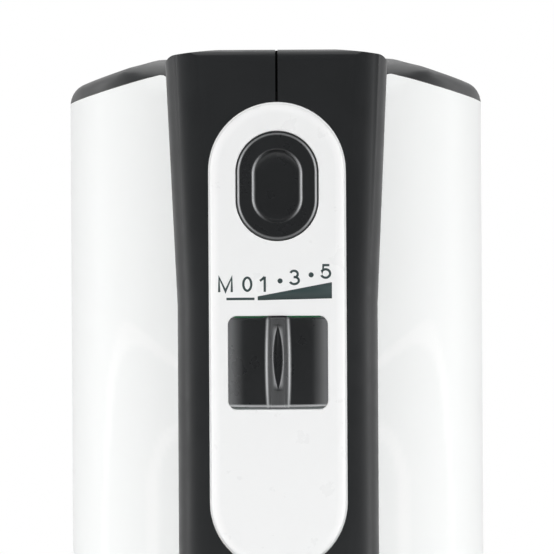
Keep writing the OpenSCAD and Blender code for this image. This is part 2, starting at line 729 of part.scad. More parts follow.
// The right beater stands 45 degrees on from the left one, so that the two sets of strips pass.
module at_beater(side) translate([side * spindle_x, 0, spindle_z]) rotate([0, side > 0 ? 45 : 0, 0]) children();
module beater_shaft(side) color(steel) at_beater(side) {
    rotate([-90, 0, 0]) {
        translate([0, 0, shank_top]) cylinder(h = base_depth + 8 - shank_top, r = shank_r);
        translate([0, 0, base_depth + 3]) cylinder(h = 3, r = 6.5);
        translate([0, 0, base_depth + 7]) cylinder(h = beater_reach - base_depth - 7, r = 2.8);
        translate([0, 0, beater_reach - 3]) cylinder(h = 4, r = hub_r);
        translate([0, 0, beater_reach - 92]) cylinder(h = 5, r = hub_r);
    }
    translate([0, spindle_end - 3.5, 0]) cylinder(h = 10, r = 1, center = true);
}
module beater_strips(side) color(steel) at_beater(side) difference() {
    union() {
        strip();
        rotate([0, 90, 0]) strip();
    }
    rotate([-90, 0, 0]) cylinder(h = big, r = hub_r + 0.02);
}

// ---------- assembly ----------

chassis(-1);  // chassis_left
chassis(1);  // chassis_right
nose_cap();
side_cover(-1);  // side_cover_left
side_cover(1);  // side_cover_right
heel_cover();
base_cover();
control_panel();
port_collar();
port_shutter();
cord_gland();
cord_clamp();
terminal_block();
housing_screws();
eject_button();
ejector_rod();
ejector_spring();
speed_slider();
slider_bracket();
contact_carriage();
speed_switch();
control_board();
heat_sink();
suppression_capacitor();
choke_coils();
rear_bracket();
front_bracket();
stator_core();
field_coils();
worm_shaft();
armature_core();
armature_windings();
commutator();
cooling_fan();
shaft_bearings();
brush_holders();
carbon_brushes();
brush_springs();
motor_screws();
drive_coupling();
gear_case();
gear_case_cover();
gear_case_screws();
spindle_bushes();
spindle(-1);  // spindle_left
spindle(1);  // spindle_right
worm_wheel(-1);  // worm_wheel_left
worm_wheel(1);  // worm_wheel_right
spindle_clip(-1);  // spindle_clip_left
spindle_clip(1);  // spindle_clip_right
beater_shaft(-1);  // beater_shaft_left
beater_shaft(1);  // beater_shaft_right
beater_strips(-1);  // beater_strips_left
beater_strips(1);  // beater_strips_right
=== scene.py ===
"""Looks of the hand mixer: materials, detailed visible pieces, light and camera.

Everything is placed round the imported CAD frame. Meshes are worked out in millimetres; lights, camera,
floor and materials are in metres, as in the frame."""

import json
import math

import bmesh
import bpy
import numpy as np
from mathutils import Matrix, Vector


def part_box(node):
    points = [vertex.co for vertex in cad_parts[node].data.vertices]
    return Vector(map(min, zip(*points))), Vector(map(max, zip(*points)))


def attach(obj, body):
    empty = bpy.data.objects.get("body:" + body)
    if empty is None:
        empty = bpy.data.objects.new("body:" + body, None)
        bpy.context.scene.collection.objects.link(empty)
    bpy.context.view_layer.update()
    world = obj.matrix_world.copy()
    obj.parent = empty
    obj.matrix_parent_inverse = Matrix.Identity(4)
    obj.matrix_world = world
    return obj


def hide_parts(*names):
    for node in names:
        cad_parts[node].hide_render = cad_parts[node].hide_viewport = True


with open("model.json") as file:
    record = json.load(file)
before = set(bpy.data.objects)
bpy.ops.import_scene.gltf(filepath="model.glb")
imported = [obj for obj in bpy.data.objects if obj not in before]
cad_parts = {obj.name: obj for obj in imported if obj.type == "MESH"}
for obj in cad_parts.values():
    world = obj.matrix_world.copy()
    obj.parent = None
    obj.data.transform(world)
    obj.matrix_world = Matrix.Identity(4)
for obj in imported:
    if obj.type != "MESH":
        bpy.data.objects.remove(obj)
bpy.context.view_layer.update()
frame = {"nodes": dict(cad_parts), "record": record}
nodes = frame["nodes"]
MM = 0.001
SEAM = 0.25 * MM        # half the gap between the two halves of the grip, in metres
# colour of the painted shade in the grip's seam
SEAM_SHADOW_COLOUR = (0.001, 0.001, 0.001)

# ---------------------------------------------------------------- materials


def new_material(name):
    material = bpy.data.materials.new(name)
    material.use_nodes = True
    tree = material.node_tree
    return material, tree, tree.nodes["Principled BSDF"]


def noise(tree, scale, detail=2.0, roughness=0.5):
    """A noise texture in object space, so that its grain keeps its real size."""
    coords = tree.nodes.new("ShaderNodeTexCoord")
    tex = tree.nodes.new("ShaderNodeTexNoise")
    tex.inputs["Scale"].default_value = scale
    tex.inputs["Detail"].default_value = detail
    tex.inputs["Roughness"].default_value = roughness
    tree.links.new(coords.outputs["Object"], tex.inputs["Vector"])
    return tex.outputs["Fac"]


def ramp(tree, fac, low, high, a=0.35, b=0.65):
    """Maps a factor to a range of values or colours."""
    node = tree.nodes.new("ShaderNodeValToRGB")
    stops = node.color_ramp.elements
    stops[0].position, stops[1].position = a, b
    stops[0].color, stops[1].color = low, high
    tree.links.new(fac, node.inputs["Fac"])
    return node.outputs["Color"]


def grey(value):
    return (value, value, value, 1.0)


def bump(tree, shader, layers):
    """Chains bump layers of (height, strength, distance in metres) into the shader's normal."""
    previous = None
    for height, strength, distance in layers:
        node = tree.nodes.new("ShaderNodeBump")
        node.inputs["Strength"].default_value = strength
        node.inputs["Distance"].default_value = distance
        tree.links.new(height, node.inputs["Height"])
        if previous is not None:
            tree.links.new(previous, node.inputs["Normal"])
        previous = node.outputs["Normal"]
    tree.links.new(previous, shader.inputs["Normal"])


def mixed(tree, factor):
    """A colour mix driven by a factor; its inputs A and B are set by the caller."""
    mix = tree.nodes.new("ShaderNodeMix")
    mix.data_type = "RGBA"
    tree.links.new(factor, mix.inputs["Factor"])
    return mix


def moulded(name, colour, rough, spread=0.05, grain=2600.0, grain_depth=0.012, tint=0.06, metal=0.0,
            shine=0.5, polished=None, wave=0.01, split=False):
    """Injection-moulded or finished surface: colour drift, uneven roughness and a fine grain.

    Where a mesh carries the painted highlight attribute, its colour turns towards the lighter highlight colour:
    a painted highlight.
    With split, the colour goes black between the left and the right half of the grip: painted shade in the seam."""
    material, tree, shader = new_material(name)
    dark = tuple(c * (1 - tint) for c in colour) + (1.0,)
    light = tuple(min(1.0, c * (1 + tint)) for c in colour) + (1.0,)
    base = ramp(tree, noise(tree, 45.0, 4.0), dark, light)
    # painted highlight: the colour is lightened by the mesh's highlight weight along edges and slopes
    if polished:
        highlight_weight = tree.nodes.new("ShaderNodeAttribute")
        highlight_weight.attribute_name = "painted_highlight"
        mix = mixed(tree, highlight_weight.outputs["Fac"])
        tree.links.new(base, mix.inputs["A"])
        mix.inputs["B"].default_value = polished + (1.0,)
        base = mix.outputs["Result"]
    shader.inputs["Specular IOR Level"].default_value = shine
    # painted shade: black in the seam between the two halves of the grip
    if split:
        coords = tree.nodes.new("ShaderNodeTexCoord")
        axes = tree.nodes.new("ShaderNodeSeparateXYZ")
        tree.links.new(coords.outputs["Object"], axes.inputs["Vector"])
        away = tree.nodes.new("ShaderNodeMath")
        away.operation = "ABSOLUTE"
        tree.links.new(axes.outputs["X"], away.inputs[0])
        outside_seam_shade = tree.nodes.new("ShaderNodeMapRange")
        outside_seam_shade.inputs["From Min"].default_value = SEAM - 0.01 * MM
        outside_seam_shade.inputs["From Max"].default_value = SEAM
        tree.links.new(away.outputs["Value"], outside_seam_shade.inputs["Value"])
        mix = mixed(tree, outside_seam_shade.outputs["Result"])
        mix.inputs["A"].default_value = SEAM_SHADOW_COLOUR + (1.0,)
        tree.links.new(base, mix.inputs["B"])
        base = mix.outputs["Result"]
    tree.links.new(base, shader.inputs["Base Color"])
    tree.links.new(ramp(tree, noise(tree, 190.0, 5.0, 0.6), grey(rough - spread), grey(rough + spread)),
                   shader.inputs["Roughness"])
    if metal:
        shader.inputs["Metallic"].default_value = metal
    bump(tree, shader, [(noise(tree, grain, 2.0), 0.35, grain_depth * MM),
                        (noise(tree, 120.0, 1.0), 0.2, wave * MM)])
    return material


def brushed(name, colour, rough, stretch=(1.0, 1.0, 22.0), scratch=900.0):
    """Ground or drawn metal, with its marks running across the stretched axis."""
    material, tree, shader = new_material(name)
    coords = tree.nodes.new("ShaderNodeTexCoord")
    mapping = tree.nodes.new("ShaderNodeMapping")
    mapping.inputs["Scale"].default_value = stretch
    tex = tree.nodes.new("ShaderNodeTexNoise")
    tex.inputs["Scale"].default_value = scratch / max(stretch)
    tex.inputs["Detail"].default_value = 3.0
    tree.links.new(coords.outputs["Object"], mapping.inputs["Vector"])
    tree.links.new(mapping.outputs["Vector"], tex.inputs["Vector"])
    fac = tex.outputs["Fac"]
    dark = tuple(c * 0.88 for c in colour) + (1.0,)
    tree.links.new(ramp(tree, fac, dark, tuple(colour) + (1.0,)), shader.inputs["Base Color"])
    tree.links.new(ramp(tree, fac, grey(rough + 0.08), grey(rough - 0.05)), shader.inputs["Roughness"])
    shader.inputs["Metallic"].default_value = 1.0
    bump(tree, shader, [(fac, 0.25, 0.006 * MM), (noise(tree, 240.0, 2.0), 0.1, 0.01 * MM)])
    return material


ANTHRACITE = (0.0185, 0.0195, 0.0205)
SATIN = (0.04, 3200.0, 0.010, 0.08)     # roughness spread, grain, grain depth and tint of the dark mouldings

MATERIALS = {
    "dark_housing": moulded("satin_anthracite", ANTHRACITE, 0.38, *SATIN, shine=0.34),
    # the white cover, white panel and dark control each carry a lighter colour for painted highlights along
    # edges and slopes
    "white_cover": moulded("gloss_white_cover", (0.862, 0.872, 0.867), 0.34, 0.03, 900.0, 0.001, 0.003,
                           shine=0.2, polished=(0.89, 0.895, 0.89), wave=0.002),
    "white_panel": moulded("gloss_white_panel", (0.845, 0.85, 0.85), 0.3, 0.03, 900.0, 0.001, 0.003,
                           polished=(0.93, 0.93, 0.93), wave=0.002),
    "dark_control": moulded("satin_graphite", (0.0175, 0.0185, 0.0195), 0.3, 0.04, 3600.0, 0.005, 0.08,
                            polished=(0.62, 0.63, 0.64), wave=0.004),
    "black_gland": moulded("soft_black", (0.012, 0.012, 0.012), 0.62, 0.06, 1500.0, 0.03, 0.1),
    "grey_moulding": moulded("grey_polymer", (0.20, 0.21, 0.22), 0.48, 0.05, 2200.0, 0.015, 0.06),
    "natural_nylon": moulded("natural_polymer", (0.70, 0.68, 0.60), 0.42, 0.05, 1800.0, 0.012, 0.04),
    "circuit_board": moulded("board_lacquer", (0.02, 0.12, 0.05), 0.35, 0.06, 1400.0, 0.02, 0.2),
    "capacitor_case": moulded("yellow_case", (0.62, 0.45, 0.04), 0.30, 0.04, 1200.0, 0.01, 0.05),
    "cast_alloy": moulded("cast_alloy", (0.55, 0.56, 0.57), 0.45, 0.08, 1300.0, 0.05, 0.06, metal=1.0),
    "lamination": brushed("lamination", (0.30, 0.31, 0.33), 0.42, (1.0, 1.0, 30.0), 2600.0),
    "enamelled_wire": brushed("enamelled_wire", (0.60, 0.20, 0.06), 0.30, (1.0, 1.0, 14.0), 1600.0),
    "commutator_metal": brushed("commutator_metal", (0.72, 0.36, 0.18), 0.28, (1.0, 1.0, 18.0)),
    "bronze": moulded("sintered_bronze", (0.52, 0.34, 0.16), 0.45, 0.08, 2200.0, 0.04, 0.1, metal=1.0),
    "brass_sheet": brushed("brass_sheet", (0.78, 0.58, 0.24), 0.30, (18.0, 1.0, 1.0)),
    "carbon": moulded("pressed_graphite", (0.02, 0.02, 0.022), 0.55, 0.08, 2400.0, 0.03, 0.15),
    "machined_steel": brushed("machined_steel", (0.60, 0.61, 0.62), 0.26, (1.0, 1.0, 20.0)),
    "plated_steel": brushed("plated_steel", (0.66, 0.66, 0.68), 0.34, (1.0, 12.0, 1.0)),
    "spring_steel": brushed("spring_steel", (0.50, 0.51, 0.53), 0.30, (1.0, 1.0, 12.0)),
    "printed_ink": moulded("printed_ink", (0.040, 0.062, 0.062), 0.45, 0.04, 2600.0, 0.002, 0.06),
    "beater_chrome": brushed("polished_wire", (0.80, 0.81, 0.82), 0.10, (1.0, 14.0, 1.0), 700.0),
}
# the dark housing with painted shade in the seam between the grip's halves
HOUSING_WITH_SEAM_SHADE = moulded("satin_anthracite_seam_shade", ANTHRACITE, 0.38, *SATIN, shine=0.34, split=True)
# a lighter, shinier copy of the anthracite; its lighter colour is painted light on the nose cap
LIT_NOSE_CAP = moulded("satin_anthracite_lit_cap", (0.034, 0.035, 0.036), 0.42, *SATIN, shine=0.6)
SEAM_SHADOW = moulded("seam_shadow", SEAM_SHADOW_COLOUR, 0.7, *SATIN, shine=0.02)


def paint(obj, material):
    obj.data.materials.clear()
    obj.data.materials.append(material)


slot_of = {row["node"]: row["material_slot"] for row in frame["record"]["subparts"]}
# the chassis halves take the housing with painted shade in the seam
for node_name, node_object in nodes.items():
    paint(node_object, HOUSING_WITH_SEAM_SHADE if node_name.startswith("chassis") else MATERIALS[slot_of[node_name]])
    node_object.data.shade_smooth()
    weld = node_object.modifiers.new("weld", "WELD")
    weld.merge_threshold = 0.002 * MM
    split = node_object.modifiers.new("creases", "EDGE_SPLIT")
    split.split_angle = math.radians(32)

# ---------------------------------------------------------------- outlines and surfaces, in millimetres

half_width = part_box("side_cover_right")[1].x / MM
slider_low, slider_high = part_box("speed_slider")
slider_z = (slider_low.z + slider_high.z) / 2 / MM
nose = slider_z + 65.3
crest_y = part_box("chassis_right")[0].y / MM
heel_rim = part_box("side_cover_right")[0].z / MM
shoulder, underside = -38.0, 38.0
cover_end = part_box("side_cover_right")[1].y / MM
grip_half, grip_thick, leg_round = 20.5, 30.0, 7.0
loop_z = (grip_thick, 138.0)            # bottom and top of the finger loop
flare_start, flare_out = 146.5, 2.4     # where the grip starts to widen towards the nose, and by how much


class Outline:
    """A convex outline of (x, y, radius) corners listed anticlockwise.

    Called with x and y, it gives the signed distance and the outward normal."""

    def __init__(self, corners):
        self.at = np.array([c[:2] for c in corners], float)
        along = np.roll(self.at, -1, axis=0) - self.at
        self.along = along / np.linalg.norm(along, axis=1)[:, None]
        self.out = np.stack([self.along[:, 1], -self.along[:, 0]], 1)
        self.arcs = []
        for i, corner in enumerate(corners):
            before, after = self.out[i - 1], self.out[i]
            centre = self.at[i] - corner[2] * (before + after) / (1 + before @ after)
            self.arcs.append((centre, corner[2], self.along[i - 1], self.along[i]))

    def __call__(self, x, y):
        best = np.full(np.shape(x + y), -1e9)
        nx, ny = np.zeros_like(best), np.zeros_like(best)
        for point, out in zip(self.at, self.out):
            d = (x - point[0]) * out[0] + (y - point[1]) * out[1]
            more = d > best
            best, nx, ny = np.where(more, d, best), np.where(more, out[0], nx), np.where(more, out[1], ny)
        for centre, radius, before, after in self.arcs:
            px, py = x - centre[0], y - centre[1]
            r = np.maximum(np.hypot(px, py), 1e-9)
            inside = (px * before[0] + py * before[1] > 0) & (px * after[0] + py * after[1] < 0)
            best = np.where(inside, r - radius, best)
            nx, ny = np.where(inside, px / r, nx), np.where(inside, py / r, ny)
        return best, nx, ny


body_side = Outline([
    (underside, 0, 14), (underside, nose - 7, 26), (shoulder, nose + 1.3, 12), (shoulder, 0, 12),
])
body_plan = Outline([
    (half_width - 5, 0, 16), (half_width, 76, 300), (half_width, nose - 6.2, 5), (22, nose + 0.9, 40),
    (-22, nose + 0.9, 40), (-half_width, nose - 6.2, 5), (-half_width, 76, 300), (-half_width + 5, 0, 16),
])
body_cross = Outline([
    (half_width, shoulder, 28), (half_width, underside, 16),
    (-half_width, underside, 16), (-half_width, shoulder, 28),
])


def body_distance(x, y, z, fillet=2.5):
    """Distance to the body's skin. Where two of its faces meet at an angle they are blended by a fillet."""
    a, ay, az = body_side(y, z)
    b, bx, bz = body_plan(x, z)
    c, cx, cy = body_cross(x, y)
    parts = [(a, 0 * a, ay, az), (b, bx, 0 * b, bz), (c, cx, cy, 0 * c)]
    d, nx, ny, nz = parts[0]
    for e, ex, ey, ez in parts[1:]:
        k = fillet * np.clip(1 - (nx * ex + ny * ey + nz * ez), 0, 1) + 1e-6
        more = e > d
        top = np.minimum(np.maximum(d, e), -k) + np.hypot(np.maximum(d + k, 0), np.maximum(e + k, 0))
        d, nx, ny, nz = top, np.where(more, ex, nx), np.where(more, ey, ny), np.where(more, ez, nz)
    return d


def solve(inside, low, high, steps=24):
    """The parameter between low and high at which inside turns false, found by halving."""
    low, high = low.copy(), high.copy()
    for _ in range(steps):
        mid = (low + high) / 2
        held = inside(mid)
        low, high = np.where(held, mid, low), np.where(held, high, mid)
    return low


def grid_faces(rows, columns, base=0, closed=False):
    """Quads of a grid of rows x columns vertices that starts at index base."""
    faces = []
    for r in range(rows - 1):
        for c in range(columns if closed else columns - 1):
            d = (c + 1) % columns
            faces.append((base + r * columns + c, base + r * columns + d,
                          base + (r + 1) * columns + d, base + (r + 1) * columns + c))
    return faces


def mesh_object(name, points, faces, slot, body="housing", crease=35.0, outward=True):
    """A smooth-shaded mesh from points in millimetres, in its slot's material, riding its body."""
    mesh = bpy.data.meshes.new(name)
    mesh.from_pydata([tuple(float(v) * MM for v in p) for p in points], [], faces)
    mesh.validate()
    shape = bmesh.new()
    shape.from_mesh(mesh)
    bmesh.ops.remove_doubles(shape, verts=shape.verts, dist=0.001 * MM)
    bmesh.ops.dissolve_degenerate(shape, dist=0.0005 * MM, edges=shape.edges)
    if outward:
        bmesh.ops.recalc_face_normals(shape, faces=shape.faces)
    shape.to_mesh(mesh)
    shape.free()
    mesh.shade_smooth()
    obj = bpy.data.objects.new(name, mesh)
    bpy.context.scene.collection.objects.link(obj)
    paint(obj, MATERIALS[slot])
    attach(obj, body)
    if crease:
        split = obj.modifiers.new("creases", "EDGE_SPLIT")
        split.split_angle = math.radians(crease)
    return obj


# ---------------------------------------------------------------- side covers and nose cap

cover_edge = [(12, 100, 1), (80, 100, 1), (80, nose - 18.3, 1), (grip_half + 3.1, nose - 3.4, 1.5)]
slope = 7.0 / (underside - shoulder)


def grown(corners, by):
    """The corners of an outline moved out by a distance."""
    moved = []
    shape = Outline(corners)
    for i, corner in enumerate(corners):
        before, after = shape.out[i - 1], shape.out[i]
        p = shape.at[i] + by * (before + after) / (1 + before @ after)
        moved.append((p[0], p[1], corner[2] + by))
    return moved


def cover_zone(shift):
    """Negative behind the line where the side covers end and the nose cap begins.

    A positive shift moves that line forwards."""
    edge = Outline(grown(cover_edge, shift))

    def distance(x, y, z):
        a = edge(np.abs(x), z)[0]
        b = z - loop_z[1] - 2
        c = np.maximum(np.abs(x) - 24, -15 - y)
        plane = z - (nose - 3.4 + shift - slope * (y - shoulder))
        return np.maximum(np.minimum(np.minimum(a, b), c), plane)

    return distance


def front_leg_edge(z):
    """How far from the centre plane the front leg reaches at height z, with the joint gap added."""
    gap = 0.25
    low, r = loop_z[1] - gap, leg_round + gap
    arc = grip_half - leg_round + np.sqrt(np.maximum(r * r - np.maximum(low + r - z, 0) ** 2, 0))
    return arc + np.maximum(z - flare_start, 0) * flare_out / (nose - flare_start)


def rear_leg_edge(z):
    gap = 0.25
    high, r = loop_z[0] + gap, leg_round + gap
    return grip_half - leg_round + np.sqrt(np.maximum(r * r - np.maximum(z - high + r, 0) ** 2, 0))


# outer and inner border of each raised shelf, and its height
raised_shelf = [
    (Outline([(18, 26, 1), (38.9, 26, 12), (38.9, 100, 40), (37.3, 130, 14), (34.3, 144.7, 2.4),
              (18, 131.2, 1)]),
     Outline([(18, 28, 1), (37.2, 28, 11), (37.2, 108, 40), (35.3, 128.5, 16), (32.6, 138.8, 4),
              (18, 128.6, 1)]), 0.32),
    (Outline([(18, 36, 1), (28.8, 36, 8), (28.8, 109, 14), (25.9, 117.8, 6), (18, 123.7, 1)]),
     Outline([(18, 39, 1), (25.5, 39, 5), (25.5, 109.5, 10), (24.0, 114.3, 5), (18, 119, 1)]), 0.22),
]


def shelf(x, z):
    """Height of the two low shelves on a cover's shoulder, and how much a place is on one of their slopes, which
    is the weight of its painted highlight.
    """
    height, highlight_weight = 0 * x, 0 * x
    for outer, inner, rise in raised_shelf:
        a, b = -outer(np.abs(x), z)[0], inner(np.abs(x), z)[0]
        f = np.clip(a / np.maximum(a + b, 1e-6), 0, 1)
        f = np.where(a <= 0, 0, np.where(b <= 0, 1, f))
        height = height + rise * f * f * (3 - 2 * f)
        # painted highlight along the middle of each shelf's slope
        highlight_weight = np.maximum(highlight_weight, np.clip(4.6 * f * (1 - f) * 1.3, 0, 1))
    return height, highlight_weight


def skin_at(x, z):
    """The y of the body's upper skin at x, z."""
    shape = np.broadcast_arrays(x, z)
    return -solve(lambda t: body_distance(shape[0], -t, shape[1]) < 0, 0.0 * shape[0], 60.0 + 0.0 * shape[0])


def cover_patches():
    """The right-hand cover as grids of (x, y, z, painted highlight weight), each a few rows over the skin."""
    def bearing(x, z):
        return np.arctan2(x, -skin_at(x, z))

    turn_z = solve(lambda t: body_distance(0 * t, cover_end + 0 * t, t) < 0,
                   np.array([120.0]), np.array([nose]))[0]

    def last_bearing(z):
        z = np.minimum(z, turn_z - 1.5)
        x = solve(lambda t: body_distance(t, cover_end + 0 * t, z) < 0, 0 * z, 60 + 0 * z)
        return np.arctan2(x, 0 * x - cover_end)

    def place(angle, z):
        """Where the ray at that bearing leaves the skin, raised by the shelves."""
        sx, sy = np.sin(angle), -np.cos(angle)

        def held(t):
            return body_distance(t * sx, t * sy, z) - shelf(t * sx, z)[0] * (t * sy < 5) < 0

        t = solve(held, 0 * angle, 75 + 0 * angle)
        x, y = t * sx, t * sy
        return x, y, z, shelf(x, z)[1] * (y < 5)

    span = np.concatenate([[0, 0.0035, 0.009, 0.018, 0.032], np.linspace(0.05, 0.97, 88),
                           [0.985, 0.995, 1.0]])
    corner_x, corner_z = grip_half - leg_round, loop_z[1] - 0.25
    rear_rows = np.concatenate([heel_rim + np.array([0, 0.4, 1.0]),
                                np.linspace(heel_rim + 2, loop_z[0] - 0.6, 18),
                                [loop_z[0] - 0.2, loop_z[0], loop_z[0] + 0.25]])
    mid_rows = np.concatenate([[loop_z[0] + 0.25, loop_z[0] + 0.6],
                               np.linspace(loop_z[0] + 1.5, corner_z - 1.5, 96),
                               [corner_z - 0.35, corner_z]])

    def sheet(first_x, rows, part):
        z = rows[:, None] + 0 * part
        low = bearing(first_x + 0 * rows, rows)
        high = last_bearing(rows)
        return place(low[:, None] + (high - low)[:, None] * part, z)

    rear = sheet(rear_leg_edge(rear_rows), rear_rows, span)
    middle = sheet(corner_x, mid_rows, span)
    inner_x = 0.15 + (corner_x - 0.15) * np.concatenate([[0, 0.03, 0.08], np.linspace(0.14, 1, 14)])
    x, z = inner_x + 0 * mid_rows[:, None], mid_rows[:, None] + 0 * inner_x
    strip = (x, skin_at(x, z), z, 0 * x)

    # the front rows climb from the loop's corner to the nose line, whose height is found column by column
    zone = cover_zone(0.0)

    def front_bearing(z, part):
        slant = 12 + (z - 100) * (grip_half + 3.1 - 12) / (nose - 3.4 - 100) + 0.02
        edge = np.maximum(front_leg_edge(z), slant)
        first = np.arctan2(edge, -skin_at(edge, z))
        return first + (last_bearing(z) - first) * part

    steps = np.concatenate([[0, 0.004, 0.012, 0.025, 0.045], np.linspace(0.07, 0.95, 56),
                            [0.972, 0.988, 0.9955, 1.0]])

    def climb(angle_of, low, part):
        def under_line(z):
            px, py, pz, _ = place(angle_of(z, part), z)
            return zone(px, py, pz) < 0

        top_line = solve(under_line, low + 0 * part, nose + 0 * part, 20)
        z = low + (top_line - low) * steps[:, None]
        return place(angle_of(z, part + 0 * z), z)

    front = climb(front_bearing, corner_z, span)

    # above the flat underside the cover turns in to the middle
    def under_bearing(z, part):
        first = last_bearing(z)
        return first + (math.pi - 0.004 - first) * part

    under = climb(under_bearing, turn_z, np.linspace(0, 1, 40))
    return rear, middle, strip, front, under


def side_cover(side, patches):
    """One glossy side cover: a single sheet over the shoulder, the flank and the turn of the underside."""
    points, faces, highlight_weights = [], [], []
    for x, y, z, highlight_weight in patches:
        start = len(points)
        points.extend(zip((side * x).ravel(), y.ravel(), z.ravel()))
        highlight_weights.extend(np.broadcast_to(highlight_weight, x.shape).ravel())
        faces += grid_faces(x.shape[0], x.shape[1], start)
    name = "side_cover_left" if side < 0 else "side_cover_right"
    obj = mesh_object(name.replace("cover", "shell"), points, faces, "white_cover", crease=0)
    return obj, name, highlight_weights, points


def finish_shell(obj, thickness, edge):
    """Gives a sheet its wall and rounds the rim."""
    wall = obj.modifiers.new("wall", "SOLIDIFY")
    wall.thickness = thickness * MM
    wall.offset = -1
    wall.use_even_offset = False
    rim = obj.modifiers.new("rim", "BEVEL")
    rim.width = edge * MM
    rim.segments = 3
    rim.limit_method = "ANGLE"
    rim.angle_limit = math.radians(50)
    rim.harden_normals = True


def tag_painted_highlight(obj, highlight_weights, points):
    """Stores each point's painted highlight weight, for the material to read."""
    lookup = {}
    for p, b in zip(points, highlight_weights):
        lookup[tuple(round(float(c), 2) for c in p)] = float(b)
    layer = obj.data.attributes.new("painted_highlight", "FLOAT", "POINT")
    for i, v in enumerate(obj.data.vertices):
        layer.data[i].value = lookup.get(tuple(round(c / MM, 2) for c in v.co), 0.0)


patches = cover_patches()
for side in (-1, 1):
    shell, replaced, painted_highlight, places = side_cover(side, patches)
    tag_painted_highlight(shell, painted_highlight, places)
    finish_shell(shell, 2.0, 0.3)
    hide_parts(replaced)


def nose_shell():
    """The dark cap over the nose, as rings that spread from the front face's middle to the covers' edge."""
    ahead = cover_zone(0.15)
    hub = nose - 45.0
    leg = math.degrees(math.atan2(grip_half + 2.4, -shoulder))
    near = np.arange(leg - 3, leg + 4, 0.2)
    half_turn = np.unique(np.round(np.concatenate([np.arange(0, 180.1, 2.5), near]), 3))
    turn = np.radians(np.concatenate([half_turn, -half_turn[1:-1][::-1]]))
    dx, dy = np.sin(turn), -np.cos(turn)

    def place(tilt):
        sx, sy, sz = np.sin(tilt) * dx, np.sin(tilt) * dy, np.cos(tilt) + 0 * dx
        t = solve(lambda r: body_distance(r * sx, r * sy, hub + r * sz) < 0, 0 * sx, 110 + 0 * sx)
        return t * sx, t * sy, hub + t * sz

    free = np.ones_like(turn, bool)
    last = 0 * turn + math.radians(20)
    for degrees in np.arange(20, 100, 0.5):
        x, y, z = place(math.radians(degrees) + 0 * turn)
        free &= ahead(x, y, z) > 0
        last = np.where(free, math.radians(degrees), last)
    edge = solve(lambda a: ahead(*place(a)) > 0, last, last + math.radians(0.5), 22)
    rings = np.concatenate([np.linspace(0.04, 0.9, 30), np.linspace(0.915, 0.985, 9), [0.994, 1.0]])
    points, faces = [(0.0, 0.0, place(0 * turn)[2][0])], []
    for r in rings:
        points.extend(zip(*place(edge * r)))
    n = len(turn)
    faces += [(0, 1 + (i + 1) % n, 1 + i) for i in range(n)]
    faces += [tuple(reversed(f)) for f in grid_faces(len(rings), n, 1, closed=True)]
    obj = mesh_object("nose_shell", points, faces, "dark_housing", crease=0)
    finish_shell(obj, 1.8, 0.3)
    # painted light: the cap takes the lighter copy of the anthracite
    paint(obj, LIT_NOSE_CAP)
    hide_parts("nose_cap")


def painted_seam_shadow():
    """A black sheet of painted shadow just below the surface of the seam, over the nose and down to the control
    panel.
    """
    outer, inner, half = 0.12, 0.46, 0.235      # depth of its two faces below the surface, half its width
    bend = 2.4                                  # radius of the grip's front corner
    back, front_z, back_z = -46.0, nose - 1.72, nose - 1.03
    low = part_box("control_panel")[1].z / MM + 1.2
    rows = []
    for sunk in (outer, inner):
        line = [(back, back_z - sunk), (crest_y + bend, front_z - sunk)]
        line += [(crest_y + bend - (bend - sunk) * math.sin(a), front_z - bend + (bend - sunk) * math.cos(a))
                 for a in np.linspace(0.15, math.pi / 2, 9)]
        rows.append(line + [(crest_y + sunk, low)])
    points = [(x, y, z) for pair in zip(*rows) for y, z in pair for x in (-half, half)]
    faces = [(0, 1, 3, 2), tuple(len(points) - 4 + i for i in (0, 1, 3, 2))]
    for i in range(0, len(points) - 4, 4):
        for a, b in ((0, 1), (1, 3), (3, 2), (2, 0)):
            faces.append((i + a, i + b, i + b + 4, i + a + 4))
    obj = mesh_object("painted_seam_shadow", points, faces, "black_gland", crease=30)
    paint(obj, SEAM_SHADOW)


nose_shell()
painted_seam_shadow()

# ---------------------------------------------------------------- control panel, button and slider

panel_face = crest_y - 1.0
panel_low, panel_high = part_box("control_panel")
panel_r = panel_high.x / MM - 1.2
panel_mid_z = (panel_low.z + panel_high.z) / 2 / MM
panel_straight = (panel_high.z - panel_low.z) / 2 / MM - panel_r - 1.2
button_low, button_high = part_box("eject_button")
button_r = button_high.x / MM
button_z = (button_low.z + button_high.z) / 2 / MM
button_straight = (button_high.z - button_low.z) / 2 / MM - button_r
recess_r, recess_straight = 5.0, 2.45
window_half_x, window_half_z, window_round = 10.15, 9.5, 1.8
drum_r, drum_half = 17.0, 9.15
drum_y = crest_y - 0.6 + drum_r         # the axis the drum turns on
HIGHLIGHT_ENDS = 0.3         # share of a painted edge highlight's lightness left at the ends of an oval


def stadium(r, straight, z, corners=40):
    """Points (x, z) round a stadium, the same number whatever its radius."""
    a = np.linspace(0, math.pi, corners)
    upper = np.stack([r * np.cos(a), z + straight + r * np.sin(a)], 1)
    lower = np.stack([-r * np.cos(a), z - straight - r * np.sin(a)], 1)
    return np.concatenate([upper, lower])


def rounded_box(half_x, half_z, r, z, corners=12):
    loops = []
    for k, (sx, sz) in enumerate([(1, 1), (-1, 1), (-1, -1), (1, -1)]):
        a = np.linspace(k * math.pi / 2, (k + 1) * math.pi / 2, corners)
        loops.append(np.stack([sx * (half_x - r) + r * np.cos(a), z + sz * (half_z - r) + r * np.sin(a)], 1))
    return np.concatenate(loops)


